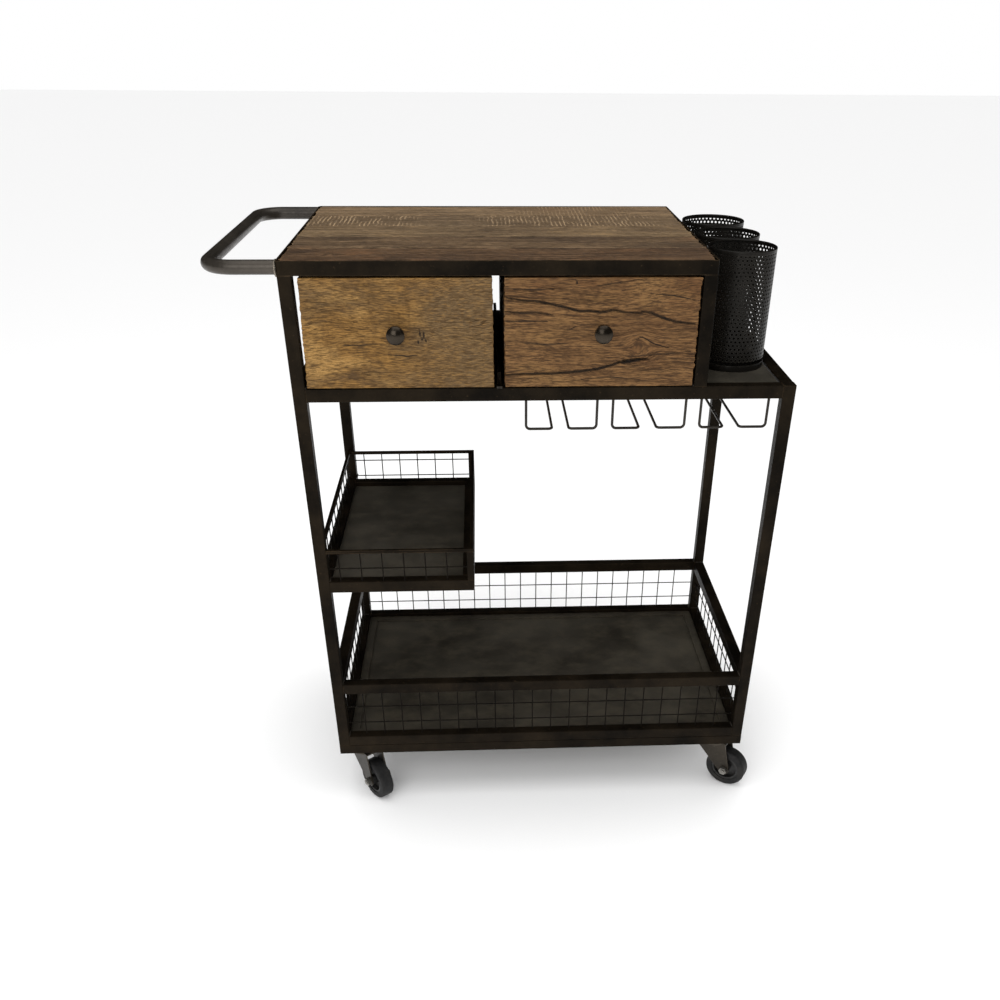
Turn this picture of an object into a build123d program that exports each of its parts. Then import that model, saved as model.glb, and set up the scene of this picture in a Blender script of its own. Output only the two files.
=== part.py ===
"""Bar cart on casters: a welded steel frame with a plank top, two drawers, a side ledge with
three perforated cups, a hanging stemware rack, a half-width wire basket and a caged bottom shelf.

Millimetres, +Z up, +X towards the ledge, the push handle at -X, the drawer fronts face -Y.
The origin is on the floor, in the middle of the cart's bounding box.
"""
import os
from math import cos, radians, sin

from build123d import *

os.makedirs("parts", exist_ok=True)

# ---------------------------------------------------------------- driving dimensions
frame_length = 730.0        # outer face of the left legs to outer face of the right legs
frame_depth = 450.0         # front face to rear face
top_length = 597.0          # plank top and drawer cabinet, from the left legs
top_height = 940.0          # walking surface of the planks
handle_reach = 108.0        # push handle beyond the left legs
knob_reach = 27.0           # drawer knobs beyond the drawer fronts

tube = 19.0                 # square tube of the whole frame
tube_wall = 1.5
tube_corner = 1.5

deck_top = 768.0            # top of the rails that carry the drawers and the ledge
basket_rail_top = 456.0
basket_rim_top = 512.0
basket_length = 251.0
basket_depth = 425.0
guard_top = 255.0           # top of the rail round the bottom shelf
base_upper_top = 143.0
frame_bottom = 105.0        # underside of the lower base rails, and the height of a caster

sheet = 1.5                 # sheet steel of the floors
wire_radius = 1.0           # welded mesh wire

# casters
wheel_radius = 37.5
tyre_width = 24.0
tread_round = 4.0
hub_radius = 26.0
hub_width = 21.0
axle_radius = 4.0
running_gap = 0.05          # radial clearance of a turning fit
body_gap = 0.3              # clearance between faces of pieces that move apart
swivel_inset = 40.0         # swivel axis from the outer faces of the frame
trail = 33.0                # wheel axis behind the swivel axis
trail_angles = {
    "front_left": -53.0,
    "front_right": -33.0,
    "rear_left": -115.0,
    "rear_right": -60.0,
}

# ---------------------------------------------------------------- where the frame stands
# The front right wheel trails outwards, so the box runs from the handle to that tyre.
outward = radians(trail_angles["front_right"])
tyre_overhang = (
    trail * cos(outward)
    + (wheel_radius - tread_round) * cos(outward)
    + (tyre_width / 2 - tread_round) * abs(sin(outward))
    + tread_round
    - swivel_inset
)
left = handle_reach - (handle_reach + frame_length + tyre_overhang) / 2
front = knob_reach - (knob_reach + frame_depth) / 2
top_frame_bottom = top_height - tube
deck_bottom = deck_top - tube
base_lower_top = frame_bottom + tube


def at(x, y, z):
    """A point measured from the frame's lower front left corner on the floor."""
    return (left + x, front + y, z)


def finish(piece, name):
    """Label a finished piece and write it to its own file."""
    piece.label = name
    export_step(piece, f"parts/{name}.step")


def square_tube(start, direction, length, size=tube, capped=False):
    """A square tube whose axis runs from start; a capped one is closed at both ends."""
    plane = Plane(origin=start, z_dir=direction)
    cap = tube_wall if capped else 0
    bore = size - 2 * tube_wall
    with BuildPart() as rail:
        with BuildSketch(plane):
            RectangleRounded(size, size, tube_corner)
        extrude(amount=length)
        with BuildSketch(plane.offset(cap)):
            Rectangle(bore, bore)
        extrude(amount=length - 2 * cap, mode=Mode.SUBTRACT)
    return rail.part


def box(low, high):
    """A plain block between two opposite corners."""
    size = [b - a for a, b in zip(low, high)]
    with BuildPart() as block:
        with BuildSketch(Plane.XY.offset(low[2])):
            with Locations((low[0] + size[0] / 2, low[1] + size[1] / 2)):
                Rectangle(size[0], size[1])
        extrude(amount=size[2])
    return block.part


# ---------------------------------------------------------------- legs and cabinet posts
half = tube / 2
along_x, along_y, along_z = (1, 0, 0), (0, 1, 0), (0, 0, 1)

for side, y in (("front", half), ("rear", frame_depth - half)):
    # the left legs run up to the top frame, the right legs end in a cap at the deck
    left_leg = square_tube(at(half, y, base_lower_top), along_z, top_frame_bottom - base_lower_top)
    finish(left_leg, f"{side}_left_leg")
    right_leg = square_tube(
        at(frame_length - half, y, base_lower_top), along_z, deck_top - base_lower_top, capped=True
    )
    finish(right_leg, f"{side}_right_leg")

posts = [
    square_tube(at(top_length - half, y, deck_top), along_z, top_frame_bottom - deck_top)
    for y in (half, frame_depth - half)
]
finish(Compound(children=posts), "cabinet_posts")


# ---------------------------------------------------------------- rails between the legs
rail_x = frame_length - 2 * tube        # clear length between left and right legs
rail_y = frame_depth - 2 * tube         # clear length between front and rear legs


def rail_ring(top):
    """Four tubes that fill the gaps between the legs, with their upper faces at one height."""
    z = top - half
    return [
        square_tube(at(tube, half, z), along_x, rail_x),
        square_tube(at(tube, frame_depth - half, z), along_x, rail_x),
        square_tube(at(half, tube, z), along_y, rail_y),
        square_tube(at(frame_length - half, tube, z), along_y, rail_y),
    ]


deck_front, deck_rear, deck_left, deck_right = rail_ring(deck_top)
deck_cross = square_tube(at(top_length - half, tube, deck_top - half), along_y, rail_y)
finish(deck_front, "deck_front_rail")
finish(deck_rear, "deck_rear_rail")
finish(Compound(children=[deck_left, deck_right, deck_cross]), "deck_side_rails")

finish(Compound(children=rail_ring(guard_top)), "shelf_guard_rails")
finish(Compound(children=rail_ring(base_upper_top)), "upper_base_rails")

# the legs stand on the lower ring, so its long tubes run the full length
lower_z = frame_bottom + half
lower_ring = [
    square_tube(at(0, y, lower_z), along_x, frame_length, capped=True)
    for y in (half, frame_depth - half)
] + [
    square_tube(at(x, tube, lower_z), along_y, rail_y) for x in (half, frame_length - half)
]
finish(Compound(children=lower_ring), "lower_base_rails")

# ---------------------------------------------------------------- plank top
angle_leg = 2.0             # thickness of the angle iron round the planks
frame_corner = 3.0
top_centre = Plane(origin=at(top_length / 2, frame_depth / 2, top_frame_bottom))

with BuildPart() as top_frame:
    with BuildSketch(top_centre):
        RectangleRounded(top_length, frame_depth, frame_corner)
    extrude(amount=tube)
    with BuildSketch(top_centre.offset(angle_leg)):
        Rectangle(top_length - 2 * angle_leg, frame_depth - 2 * angle_leg)
    extrude(amount=tube - angle_leg, mode=Mode.SUBTRACT)
    with BuildSketch(top_centre):
        Rectangle(top_length - 2 * tube, frame_depth - 2 * tube)
    extrude(amount=angle_leg, mode=Mode.SUBTRACT)
finish(top_frame.part, "top_frame")

plank_seams = [angle_leg, 86.0, 174.0, 262.0, 353.0, frame_depth - angle_leg]
plank_gap = 0.8
plank_edge = 0.8
for number, (y0, y1) in enumerate(zip(plank_seams, plank_seams[1:]), start=1):
    with BuildPart() as plank:
        with BuildSketch(Plane(origin=at(top_length / 2, (y0 + y1) / 2, top_frame_bottom + angle_leg))):
            Rectangle(top_length - 2 * angle_leg, y1 - y0 - plank_gap)
        extrude(amount=tube - angle_leg)
        chamfer(plank.faces().sort_by(Axis.Z)[-1].edges(), plank_edge)
    finish(plank.part, f"top_plank_{number}")

# ---------------------------------------------------------------- push handle
handle_radius = 9.5
handle_bend = 40.0
handle_z = top_height - handle_radius
grip_x = handle_radius - handle_reach

with BuildPart() as push_handle:
    with BuildLine() as handle_path:
        FilletPolyline(
            at(0, half, handle_z),
            at(grip_x, half, handle_z),
            at(grip_x, frame_depth - half, handle_z),
            at(0, frame_depth - half, handle_z),
            radius=handle_bend,
        )
    with BuildSketch(Plane(origin=at(0, half, handle_z), z_dir=(-1, 0, 0))):
        Circle(handle_radius)
        Circle(handle_radius - tube_wall, mode=Mode.SUBTRACT)
    sweep(path=handle_path.wires()[0])
finish(push_handle.part, "push_handle")

# ---------------------------------------------------------------- ledge beside the cabinet
ledge_recess = 3.0
ledge_sheet = 2.0
ledge_groove = 1.5          # open joint along the right rail
finish(
    box(
        at(top_length, tube, deck_top - ledge_recess - ledge_sheet),
        at(frame_length - tube - ledge_groove, frame_depth - tube, deck_top - ledge_recess),
    ),
    "ledge_plate",
)

# ---------------------------------------------------------------- drawer runners
runner_sheet = 3.0
runner_shelf = 25.0
runner_rise = 17.0
guide_centre = 296.0        # between the two drawers
guide_fin = 5.0
guide_base = 60.0
runner_low = deck_top - runner_sheet
runner_high = deck_top + runner_rise
cabinet_right = top_length - tube


def runner(profiles):
    """A runner along the full depth, welded up from flat strips given as (x0, z0, x1, z1)."""
    with BuildPart() as strip:
        for x0, z0, x1, z1 in profiles:
            with BuildSketch(Plane(origin=at(0, tube, 0), x_dir=(1, 0, 0), z_dir=(0, 1, 0))):
                with Locations(((x0 + x1) / 2, -(z0 + z1) / 2)):
                    Rectangle(x1 - x0, z1 - z0)
            extrude(amount=rail_y)
    return strip.part


finish(
    runner([
        (tube, runner_low, tube + runner_sheet, runner_high),
        (tube, runner_low, tube + runner_sheet + runner_shelf, deck_top),
    ]),
    "left_drawer_runner",
)
finish(
    runner([
        (cabinet_right - runner_sheet, runner_low, cabinet_right, runner_high),
        (cabinet_right - runner_sheet - runner_shelf, runner_low, cabinet_right, deck_top),
    ]),
    "right_drawer_runner",
)
finish(
    runner([
        (guide_centre - guide_fin / 2, runner_low, guide_centre + guide_fin / 2, runner_high),
        (guide_centre - guide_base / 2, runner_low, guide_centre + guide_base / 2, deck_top),
    ]),
    "center_drawer_guide",
)

# ---------------------------------------------------------------- drawers
front_board = 19.0
front_low = 769.5
front_high = 918.0
box_board = 12.0
box_top = 888.0
box_rear = 405.0
bottom_board = 5.0
bottom_low = 774.0
knob_height = 847.5
knob_head = 12.5            # radius
knob_rim = 7.0              # thickness of the head behind the dome
knob_dome = 5.5
knob_neck = 5.0
knob_foot = 8.5
knob_tip = 0.8              # radius of the turned flat in the middle of the dome
screw_radius = 2.0
screw_head = 4.0
screw_head_height = 2.6
screw_bite = 12.0           # how far the screw reaches into the knob

# a knob turned about the Y axis, standing on a board whose face is the plane y = 0
rim_back = knob_dome + knob_rim - knob_reach
rim_front = knob_dome - knob_reach
with BuildPart() as knob:
    with BuildSketch(Plane.XY):
        with BuildLine():
            Polyline((0, 0), (knob_foot, 0), (knob_foot, -2.5))
            Spline((knob_foot, -2.5), (knob_neck, -7.5), (knob_head - 1.5, rim_back))
            Polyline((knob_head - 1.5, rim_back), (knob_head, rim_back - 1.5), (knob_head, rim_front))
            ThreePointArc(
                (knob_head, rim_front),
                (knob_head * 0.55, rim_front - knob_dome * 0.73),
                (knob_tip, -knob_reach),
            )
            Polyline((knob_tip, -knob_reach), (0, -knob_reach), (0, 0))
        make_face()
    revolve(axis=Axis.Y)
    with BuildSketch(Plane(origin=(0, 0, 0), z_dir=(0, -1, 0))):
        Circle(screw_radius)
    extrude(amount=screw_bite, mode=Mode.SUBTRACT)

with BuildPart() as knob_screw:
    with BuildSketch(Plane(origin=(0, front_board, 0), z_dir=(0, -1, 0))):
        Circle(screw_radius)
    extrude(amount=front_board + screw_bite)
    with BuildSketch(Plane(origin=(0, front_board, 0), z_dir=(0, 1, 0))):
        Circle(screw_head)
    extrude(amount=screw_head_height)
    fillet(knob_screw.faces().sort_by(Axis.Y)[-1].edges(), 1.2)

# name, box sides, front edges (left bottom, left top, right), knob
drawers = [
    ("left", (25.0, 288.0), (21.5, 26.5, 288.5), 154.0),
    ("right", (304.0, 573.5), (303.5, 303.5, 576.0), 441.0),
]

for name, (box_left, box_right), (edge_low, edge_high, edge_right), knob_x in drawers:
    with BuildPart() as drawer_front:
        with BuildSketch(Plane(origin=at(0, front_board, 0), x_dir=(1, 0, 0), z_dir=(0, -1, 0))):
            Polygon(
                (edge_low, front_low),
                (edge_right, front_low),
                (edge_right, front_high),
                (edge_high, front_high),
                align=None,
            )
            with Locations((knob_x, knob_height)):
                Circle(screw_radius + running_gap, mode=Mode.SUBTRACT)
        extrude(amount=front_board)
        chamfer(drawer_front.faces().sort_by(Axis.Y)[0].outer_wire().edges(), plank_edge)
    finish(drawer_front.part, f"{name}_drawer_front")

    low = deck_top + body_gap
    sides = [
        box(at(x, front_board, low), at(x + box_board, box_rear, box_top))
        for x in (box_left, box_right - box_board)
    ]
    back = box(
        at(box_left + box_board, box_rear - box_board, low), at(box_right - box_board, box_rear, box_top)
    )
    finish(Compound(children=[*sides, back]), f"{name}_drawer_sides")
    finish(
        box(
            at(box_left + box_board, front_board, bottom_low),
            at(box_right - box_board, box_rear - box_board, bottom_low + bottom_board),
        ),
        f"{name}_drawer_bottom",
    )

    place = Location(at(knob_x, 0, knob_height))
    finish(knob.part.moved(place), f"{name}_drawer_knob")
    finish(knob_screw.part.moved(place), f"{name}_knob_screw")

# ---------------------------------------------------------------- stemware rack
rod_radius = 2.0
rod_bend = 6.0
rod_drop = 49.0             # deck underside to the axis of the hanging run
rod_inset = 20.0            # outer verticals from the front and rear faces
# outer vertical and inner run of each rod, in pairs that hold one row of glasses
rod_pairs = [
    ((335.0, 374.0), (440.5, 399.0)),
    ((464.0, 505.0), (573.0, 531.5)),
    ((596.0, 632.5), (697.0, 657.0)),
]

rods = []
for pair in rod_pairs:
    for outer_x, inner_x in pair:
        low = deck_bottom - rod_drop
        with BuildPart() as rod:
            with BuildLine() as rod_path:
                FilletPolyline(
                    at(outer_x, rod_inset, deck_bottom),
                    at(outer_x, rod_inset, low),
                    at(inner_x, rod_inset, low),
                    at(inner_x, frame_depth - rod_inset, low),
                    at(outer_x, frame_depth - rod_inset, low),
                    at(outer_x, frame_depth - rod_inset, deck_bottom),
                    radius=rod_bend,
                )
            with BuildSketch(Plane(origin=at(outer_x, rod_inset, deck_bottom), z_dir=(0, 0, -1))):
                Circle(rod_radius)
            sweep(path=rod_path.wires()[0])
        rods.append(rod.part)
finish(Compound(children=rods), "stemware_rods")


# ---------------------------------------------------------------- welded mesh panels
def mesh_panel(plane, width, height, uprights, levels):
    """Upright and level wires, welded where they cross; plane x runs along the panel, y up."""
    with BuildPart() as panel:
        for x in uprights:
            with BuildSketch(Plane(origin=plane.from_local_coords((x, 0, wire_radius * 0.8)), z_dir=plane.y_dir)):
                Circle(wire_radius)
            extrude(amount=height)
        for y in levels:
            with BuildSketch(Plane(origin=plane.from_local_coords((0, y, -wire_radius * 0.8)), z_dir=plane.x_dir)):
                Circle(wire_radius)
            extrude(amount=width)
    return panel.part


def spread(start, pitch, end):
    """Places at one pitch from start, up to end."""
    return [start + pitch * i for i in range(int((end - start) / pitch) + 1)]


def facing(x, y, z, along):
    """The plane of a panel: its x runs along the rail and its y runs up."""
    normal = (0, -1, 0) if along == along_x else (1, 0, 0)
    return Plane(origin=at(x, y, z), x_dir=along, z_dir=normal)


shelf_pitch = 33.0
shelf_open = guard_top - tube - base_upper_top
shelf_levels = [shelf_open - 2 * 34.0, shelf_open - 34.0]
shelf_mesh = [
    mesh_panel(facing(tube, half, base_upper_top, along_x), rail_x, shelf_open,
               spread(30.7, shelf_pitch, rail_x - 8), shelf_levels),
    mesh_panel(facing(tube, frame_depth - half, base_upper_top, along_x), rail_x, shelf_open,
               spread(25.8, shelf_pitch, rail_x - 8), shelf_levels),
    mesh_panel(facing(half, tube, base_upper_top, along_y), rail_y, shelf_open,
               spread(24.0, shelf_pitch, rail_y - 8), shelf_levels),
    mesh_panel(facing(frame_length - half, tube, base_upper_top, along_y), rail_y, shelf_open,
               spread(18.0, shelf_pitch, rail_y - 8), shelf_levels),
]
finish(Compound(children=shelf_mesh), "shelf_mesh")

# ---------------------------------------------------------------- bottom shelf floor
floor_top = 136.0
floor_border = 15.0
floor_step = 3.0
floor_centre = Plane(origin=at(frame_length / 2, frame_depth / 2, floor_top - sheet))

with BuildPart() as shelf_floor:
    with BuildSketch(floor_centre):
        Rectangle(rail_x, rail_y)
        Rectangle(rail_x - 2 * floor_border, rail_y - 2 * floor_border, mode=Mode.SUBTRACT)
    extrude(amount=sheet)
    with BuildSketch(floor_centre.offset(-floor_step)):
        Rectangle(rail_x - 2 * floor_border + 2 * sheet, rail_y - 2 * floor_border + 2 * sheet)
        Rectangle(rail_x - 2 * floor_border, rail_y - 2 * floor_border, mode=Mode.SUBTRACT)
    extrude(amount=floor_step)
    with BuildSketch(floor_centre.offset(-floor_step)):
        Rectangle(rail_x - 2 * floor_border, rail_y - 2 * floor_border)
    extrude(amount=sheet)
finish(shelf_floor.part, "shelf_floor")

# ---------------------------------------------------------------- half-width basket
basket_post = 11.0
rim_bar = 5.0
basket_z = basket_rail_top - half
basket_floor_top = 447.5
basket_inner_x = basket_length - tube
basket_inner_y = basket_depth - tube

basket_rails = [
    square_tube(at(half, tube, basket_z), along_y, rail_y),
    square_tube(at(tube, half, basket_z), along_x, basket_length - tube, capped=True),
    square_tube(at(tube, basket_depth - half, basket_z), along_x, basket_length - tube, capped=True),
    square_tube(at(basket_length - half, tube, basket_z), along_y, basket_inner_y - tube),
]
basket_posts = [
    square_tube(
        at(basket_length - basket_post / 2, y, basket_rail_top),
        along_z,
        basket_rim_top - rim_bar - basket_rail_top,
        size=basket_post,
    )
    for y in (basket_post / 2, basket_depth - basket_post / 2)
]
finish(Compound(children=basket_rails), "basket_rails")
finish(Compound(children=basket_posts), "basket_posts")

rim_low = basket_rim_top - rim_bar
rim_left = half - rim_bar / 2
with BuildPart() as basket_rim:
    with BuildSketch(Plane.XY.offset(rim_low)):
        for (x0, y0), (x1, y1) in (
            ((tube, 0), (basket_length, rim_bar)),
            ((rim_left, basket_depth - rim_bar), (basket_length, basket_depth)),
            ((rim_left, tube), (rim_left + rim_bar, frame_depth - tube)),
            ((basket_length - rim_bar, 0), (basket_length, basket_depth)),
        ):
            with Locations((left + (x0 + x1) / 2, front + (y0 + y1) / 2)):
                Rectangle(x1 - x0, y1 - y0)
    extrude(amount=rim_bar)
finish(basket_rim.part, "basket_rim")

finish(
    box(
        at(tube, tube, basket_floor_top - sheet),
        at(basket_inner_x, basket_inner_y, basket_floor_top),
    ),
    "basket_floor",
)

basket_pitch = 34.2
basket_open = rim_low - basket_rail_top
basket_front_y = rim_bar
basket_mesh = [
    mesh_panel(facing(tube, basket_front_y, basket_rail_top, along_x),
               basket_length - basket_post - tube, basket_open,
               spread(17.8, basket_pitch, basket_length - basket_post - tube - 6), [22.0]),
    mesh_panel(facing(tube, basket_depth - rim_bar, basket_rail_top, along_x),
               basket_length - basket_post - tube, basket_open,
               spread(19.3, basket_pitch, basket_length - basket_post - tube - 6), [8.0, 39.0]),
    mesh_panel(facing(half, tube, basket_rail_top, along_y), rail_y - rim_bar, basket_open,
               spread(22.0, basket_pitch, rail_y - 20), [15.0, 42.0]),
    mesh_panel(facing(basket_length - rim_bar / 2, basket_post, basket_rail_top, along_y),
               basket_depth - 2 * basket_post, basket_open,
               spread(22.0, basket_pitch, basket_depth - 2 * basket_post - 8), [15.0, 42.0]),
]
finish(Compound(children=basket_mesh), "basket_mesh")

# ---------------------------------------------------------------- perforated cups
cup_radius = 51.0
cup_wall = 1.2
cup_top = 936.0
cup_low = deck_top - ledge_recess + body_gap
cup_places = {"front_cup": (657.0, 126.0), "middle_cup": (656.0, 229.0), "rear_cup": (658.0, 346.0)}

for name, (x, y) in cup_places.items():
    with BuildPart() as cup:
        with BuildSketch(Plane(origin=at(x, y, cup_low))):
            Circle(cup_radius)
        extrude(amount=cup_top - cup_low)
        with BuildSketch(Plane(origin=at(x, y, cup_low + cup_wall))):
            Circle(cup_radius - cup_wall)
        extrude(amount=cup_top - cup_low - cup_wall, mode=Mode.SUBTRACT)
    finish(cup.part, name)

# ---------------------------------------------------------------- casters
plate_side = 60.0
plate_thick = 2.5
race_radius = 26.0
race_low = 96.5
kingpin_radius = 5.0
kingpin_head = 8.0
kingpin_low = 88.0
fork_sheet = 2.5
fork_disc = 29.0
fork_brow = 13.0            # straight height of an arm under the fork's top
fork_top = race_low - body_gap
arm_inner = 15.0            # inner face of each fork arm from the wheel's middle plane
arm_eye = 10.0
nut_across = 13.0
nut_height = 6.5
axle_end = 2.0


def swivel_place(name):
    """The swivel axis on the floor, with x along the trail."""
    x = swivel_inset if "left" in name else frame_length - swivel_inset
    y = swivel_inset if "front" in name else frame_depth - swivel_inset
    turn = radians(trail_angles[name])
    return Plane(origin=at(x, y, 0), x_dir=(cos(turn), sin(turn), 0), z_dir=(0, 0, 1))


with BuildPart() as caster_plate:
    with BuildSketch(Plane.XY.offset(frame_bottom - plate_thick)):
        RectangleRounded(plate_side, plate_side, 5)
    extrude(amount=plate_thick)
    with BuildSketch(Plane.XY.offset(race_low)):
        Circle(race_radius)
    extrude(amount=frame_bottom - plate_thick - race_low)
    with BuildSketch(Plane.XY.offset(kingpin_low)):
        Circle(kingpin_radius)
    extrude(amount=race_low - kingpin_low)
    with BuildSketch(Plane.XY.offset(kingpin_low)):
        Circle(kingpin_head)
    extrude(amount=fork_top - fork_sheet - body_gap - kingpin_low)

with BuildPart() as fork:
    with BuildSketch(Plane.XY.offset(fork_top - fork_sheet)):
        Circle(fork_disc)
        with Locations((fork_disc * 0.35, 0)):
            Rectangle(fork_disc * 1.5, 2 * (arm_inner + fork_sheet))
        Circle(kingpin_radius + running_gap, mode=Mode.SUBTRACT)
    extrude(amount=fork_sheet)
    for arm_side in (-1, 1):
        face_y = arm_side * (arm_inner + fork_sheet / 2)
        with BuildSketch(Plane(origin=(0, face_y, 0), x_dir=(1, 0, 0), z_dir=(0, -1, 0))):
            with Locations((2.0, fork_top - fork_brow / 2)):
                Rectangle(2 * fork_disc - 4.0, fork_brow)
            with Locations((trail, wheel_radius)):
                Circle(arm_eye)
            make_hull()
            with Locations((trail, wheel_radius)):
                Circle(axle_radius, mode=Mode.SUBTRACT)
        extrude(amount=fork_sheet / 2, both=True)

with BuildPart() as axle:
    outer_face = arm_inner + fork_sheet
    wheel_axis = Plane(origin=(trail, 0, wheel_radius), x_dir=(1, 0, 0), z_dir=(0, -1, 0))
    with BuildSketch(wheel_axis):
        Circle(axle_radius)
    extrude(amount=outer_face + nut_height + axle_end)
    with BuildSketch(wheel_axis):
        Circle(axle_radius)
    extrude(amount=-outer_face - nut_height)
    with BuildSketch(wheel_axis.offset(outer_face)):
        RegularPolygon(nut_across / 2, 6, major_radius=False)
    extrude(amount=nut_height)
    with BuildSketch(wheel_axis.offset(-outer_face)):
        RegularPolygon(nut_across / 2, 6, major_radius=False)
    extrude(amount=-nut_height)

web = 4.0
web_outer = hub_radius - 4.0
web_inner = 9.0
with BuildPart() as hub:
    with BuildSketch(Plane(origin=(trail, 0, wheel_radius), x_dir=(1, 0, 0), z_dir=(0, 0, 1))):
        with Locations(((axle_radius + running_gap + hub_radius) / 2, 0)):
            Rectangle(hub_radius - axle_radius - running_gap, web)
        with Locations(((axle_radius + running_gap + web_inner) / 2, 0)):
            Rectangle(web_inner - axle_radius - running_gap, 2 * (arm_inner - body_gap))
        with Locations(((web_outer + hub_radius) / 2, 0)):
            Rectangle(hub_radius - web_outer, hub_width)
    revolve(axis=Axis((trail, 0, wheel_radius), (0, 1, 0)))

with BuildPart() as tyre:
    with BuildSketch(Plane(origin=(trail, 0, wheel_radius), x_dir=(1, 0, 0), z_dir=(0, 0, 1))):
        with Locations(((hub_radius + wheel_radius) / 2, 0)):
            tread = Rectangle(wheel_radius - hub_radius, tyre_width)
        fillet(tread.vertices().group_by(Axis.X)[-1], tread_round)
    revolve(axis=Axis((trail, 0, wheel_radius), (0, 1, 0)))

plates = []
for name in trail_angles:
    place = swivel_place(name).location
    square_place = Location(place.position)
    plates.append(caster_plate.part.moved(square_place))
    finish(fork.part.moved(place), f"{name}_caster_fork")
    finish(axle.part.moved(place), f"{name}_axle")
    finish(hub.part.moved(place), f"{name}_wheel_hub")
    finish(tyre.part.moved(place), f"{name}_tyre")
finish(Compound(children=plates), "caster_plates")
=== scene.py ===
"""A bar cart on swivel casters: reclaimed plank top, two drawers, a side ledge with
perforated cups, stemware rods, a wire basket and a caged shelf on a welded steel frame."""
import math
import random

import bpy
import numpy as np
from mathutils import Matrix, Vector


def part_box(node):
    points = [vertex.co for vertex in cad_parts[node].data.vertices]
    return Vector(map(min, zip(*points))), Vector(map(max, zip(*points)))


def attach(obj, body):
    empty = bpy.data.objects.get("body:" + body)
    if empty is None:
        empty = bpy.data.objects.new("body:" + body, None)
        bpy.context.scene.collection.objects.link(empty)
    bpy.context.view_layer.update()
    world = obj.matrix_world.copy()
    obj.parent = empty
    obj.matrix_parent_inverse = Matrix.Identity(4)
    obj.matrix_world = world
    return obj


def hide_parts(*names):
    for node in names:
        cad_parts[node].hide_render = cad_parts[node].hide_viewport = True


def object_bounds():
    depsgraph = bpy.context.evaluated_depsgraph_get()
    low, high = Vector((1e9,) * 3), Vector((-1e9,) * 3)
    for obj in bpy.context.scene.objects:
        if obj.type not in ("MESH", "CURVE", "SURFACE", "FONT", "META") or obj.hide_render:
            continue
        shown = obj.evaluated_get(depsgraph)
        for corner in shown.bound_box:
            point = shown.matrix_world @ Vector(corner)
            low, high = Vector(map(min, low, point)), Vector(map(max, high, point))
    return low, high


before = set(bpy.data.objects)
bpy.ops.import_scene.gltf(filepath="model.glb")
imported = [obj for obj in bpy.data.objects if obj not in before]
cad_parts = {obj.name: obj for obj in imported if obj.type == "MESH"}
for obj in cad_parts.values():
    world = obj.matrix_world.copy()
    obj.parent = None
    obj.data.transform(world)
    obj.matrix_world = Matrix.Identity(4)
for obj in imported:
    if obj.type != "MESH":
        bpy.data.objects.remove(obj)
cad_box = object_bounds()

# ---- Camera
# It stands in front of the cart at eye height, a little left of its middle, and looks down on the
# top. The lens shifts place the cart in the frame without turning the camera further.
bpy.ops.object.camera_add(
    location=(-0.0488, -1.5977, 1.2107),
    rotation=[math.radians(angle) for angle in (55.832, -0.482, -2.997)],
)
camera = bpy.context.object
camera.name = "camera"
camera.data.sensor_width = 36.0
camera.data.lens = 34.919
camera.data.shift_x = -0.0375
camera.data.shift_y = 0.1749
bpy.context.scene.camera = camera


# ---- Floor and light
# A white seamless floor under a white sky, with a broad softbox overhead and a narrower one in
# front. The sky is hidden from glossy rays, so that it puts no grey haze on the dark steel.
def new_material(name, roughness, metallic=0.0, specular=0.5):
    """A material, its node tree and its shader, with the values that are the same all over."""
    material = bpy.data.materials.new(name)
    material.use_nodes = True
    shader = material.node_tree.nodes["Principled BSDF"]
    shader.inputs["Roughness"].default_value = roughness
    shader.inputs["Metallic"].default_value = metallic
    shader.inputs["Specular IOR Level"].default_value = specular
    return material, material.node_tree, shader


def add(tree, kind, inputs=None, **settings):
    """A shader node with its settings, and its inputs given as values or as sockets to join."""
    made = tree.nodes.new("ShaderNode" + kind)
    for key, value in settings.items():
        setattr(made, key, value)
    for key, value in (inputs or {}).items():
        if isinstance(value, bpy.types.NodeSocket):
            tree.links.new(value, made.inputs[key])
        else:
            made.inputs[key].default_value = value
    return made.outputs[0]


def noise(tree, source, scale=1.0, detail=5.0, roughness=0.6, distortion=0.0):
    return add(
        tree,
        "TexNoise",
        {
            "Vector": source,
            "Scale": scale,
            "Detail": detail,
            "Roughness": roughness,
            "Distortion": distortion,
        },
    )


def ramp(tree, value, low, high, start=0.0, end=1.0):
    """A value taken from low..high to start..end and held there."""
    return add(
        tree,
        "MapRange",
        {"Value": value, "From Min": low, "From Max": high, "To Min": start, "To Max": end},
    )


def blend(tree, factor, first, second):
    """Two colours mixed by a factor."""
    made = tree.nodes.new("ShaderNodeMix")
    made.data_type = "RGBA"
    for index, value in ((0, factor), (6, first), (7, second)):
        if isinstance(value, bpy.types.NodeSocket):
            tree.links.new(value, made.inputs[index])
        elif index:
            made.inputs[index].default_value = (*value, 1.0)
        else:
            made.inputs[index].default_value = value
    return made.outputs[2]


def object_point(tree):
    return tree.nodes.new("ShaderNodeTexCoord").outputs["Object"]


floor_white, tree, shader = new_material("floor_white", 0.9, specular=0.1)
speckle = noise(tree, object_point(tree), 300.0)
tint = blend(tree, ramp(tree, speckle, 0.3, 0.7), (0.95, 0.95, 0.95), (0.97, 0.97, 0.97))
tree.links.new(tint, shader.inputs["Base Color"])
bpy.ops.object.select_all(action="DESELECT")
bpy.ops.mesh.primitive_plane_add(size=40.0, location=(0.0, 0.0, -0.0003))
floor = bpy.context.object
floor.name = "floor"
floor.data.materials.append(floor_white)

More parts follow.
